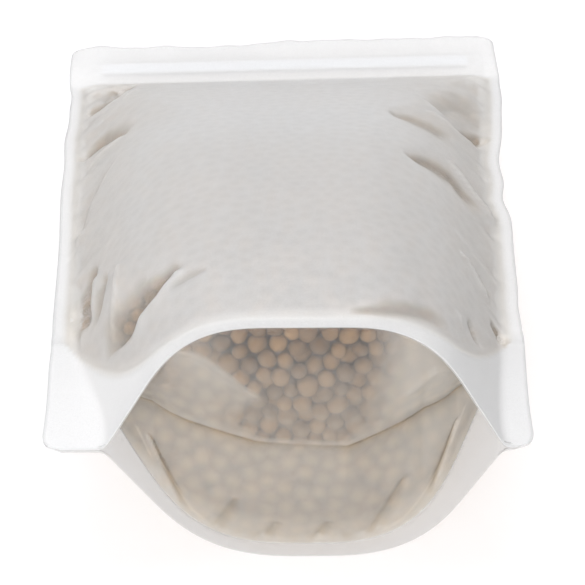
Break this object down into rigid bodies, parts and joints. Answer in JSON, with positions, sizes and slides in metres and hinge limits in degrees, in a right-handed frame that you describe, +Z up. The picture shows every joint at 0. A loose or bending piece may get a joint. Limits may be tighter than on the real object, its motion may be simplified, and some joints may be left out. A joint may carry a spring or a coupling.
{
  "type": "filled stand-up zip pouch",
  "caption": "Frosted film stand-up pouch with a gusseted bottom and press-to-close zip, full of round kibble and lying on its back panel.",
  "frame": {"origin": "centre of the bounding box on the surface that the pouch lies on", "axes": "+X across the pouch, +Y along it from the bottom gusset to the zip, +Z up through its thickness"},
  "size_m": [0.23, 0.3498, 0.1052],
  "materials": {
    "frosted_film": "matte frosted translucent film",
    "zip_plastic": "satin clear polyethylene",
    "kibble": "dry baked matte"
  },
  "bodies": {
    "root": {"front_panel": "frosted_film", "back_panel": "frosted_film", "bottom_gusset": "frosted_film", "zip_channel_track": "zip_plastic", "zip_rib_track": "zip_plastic", "kibble_fill": "kibble"}
  },
  "joints": []
}
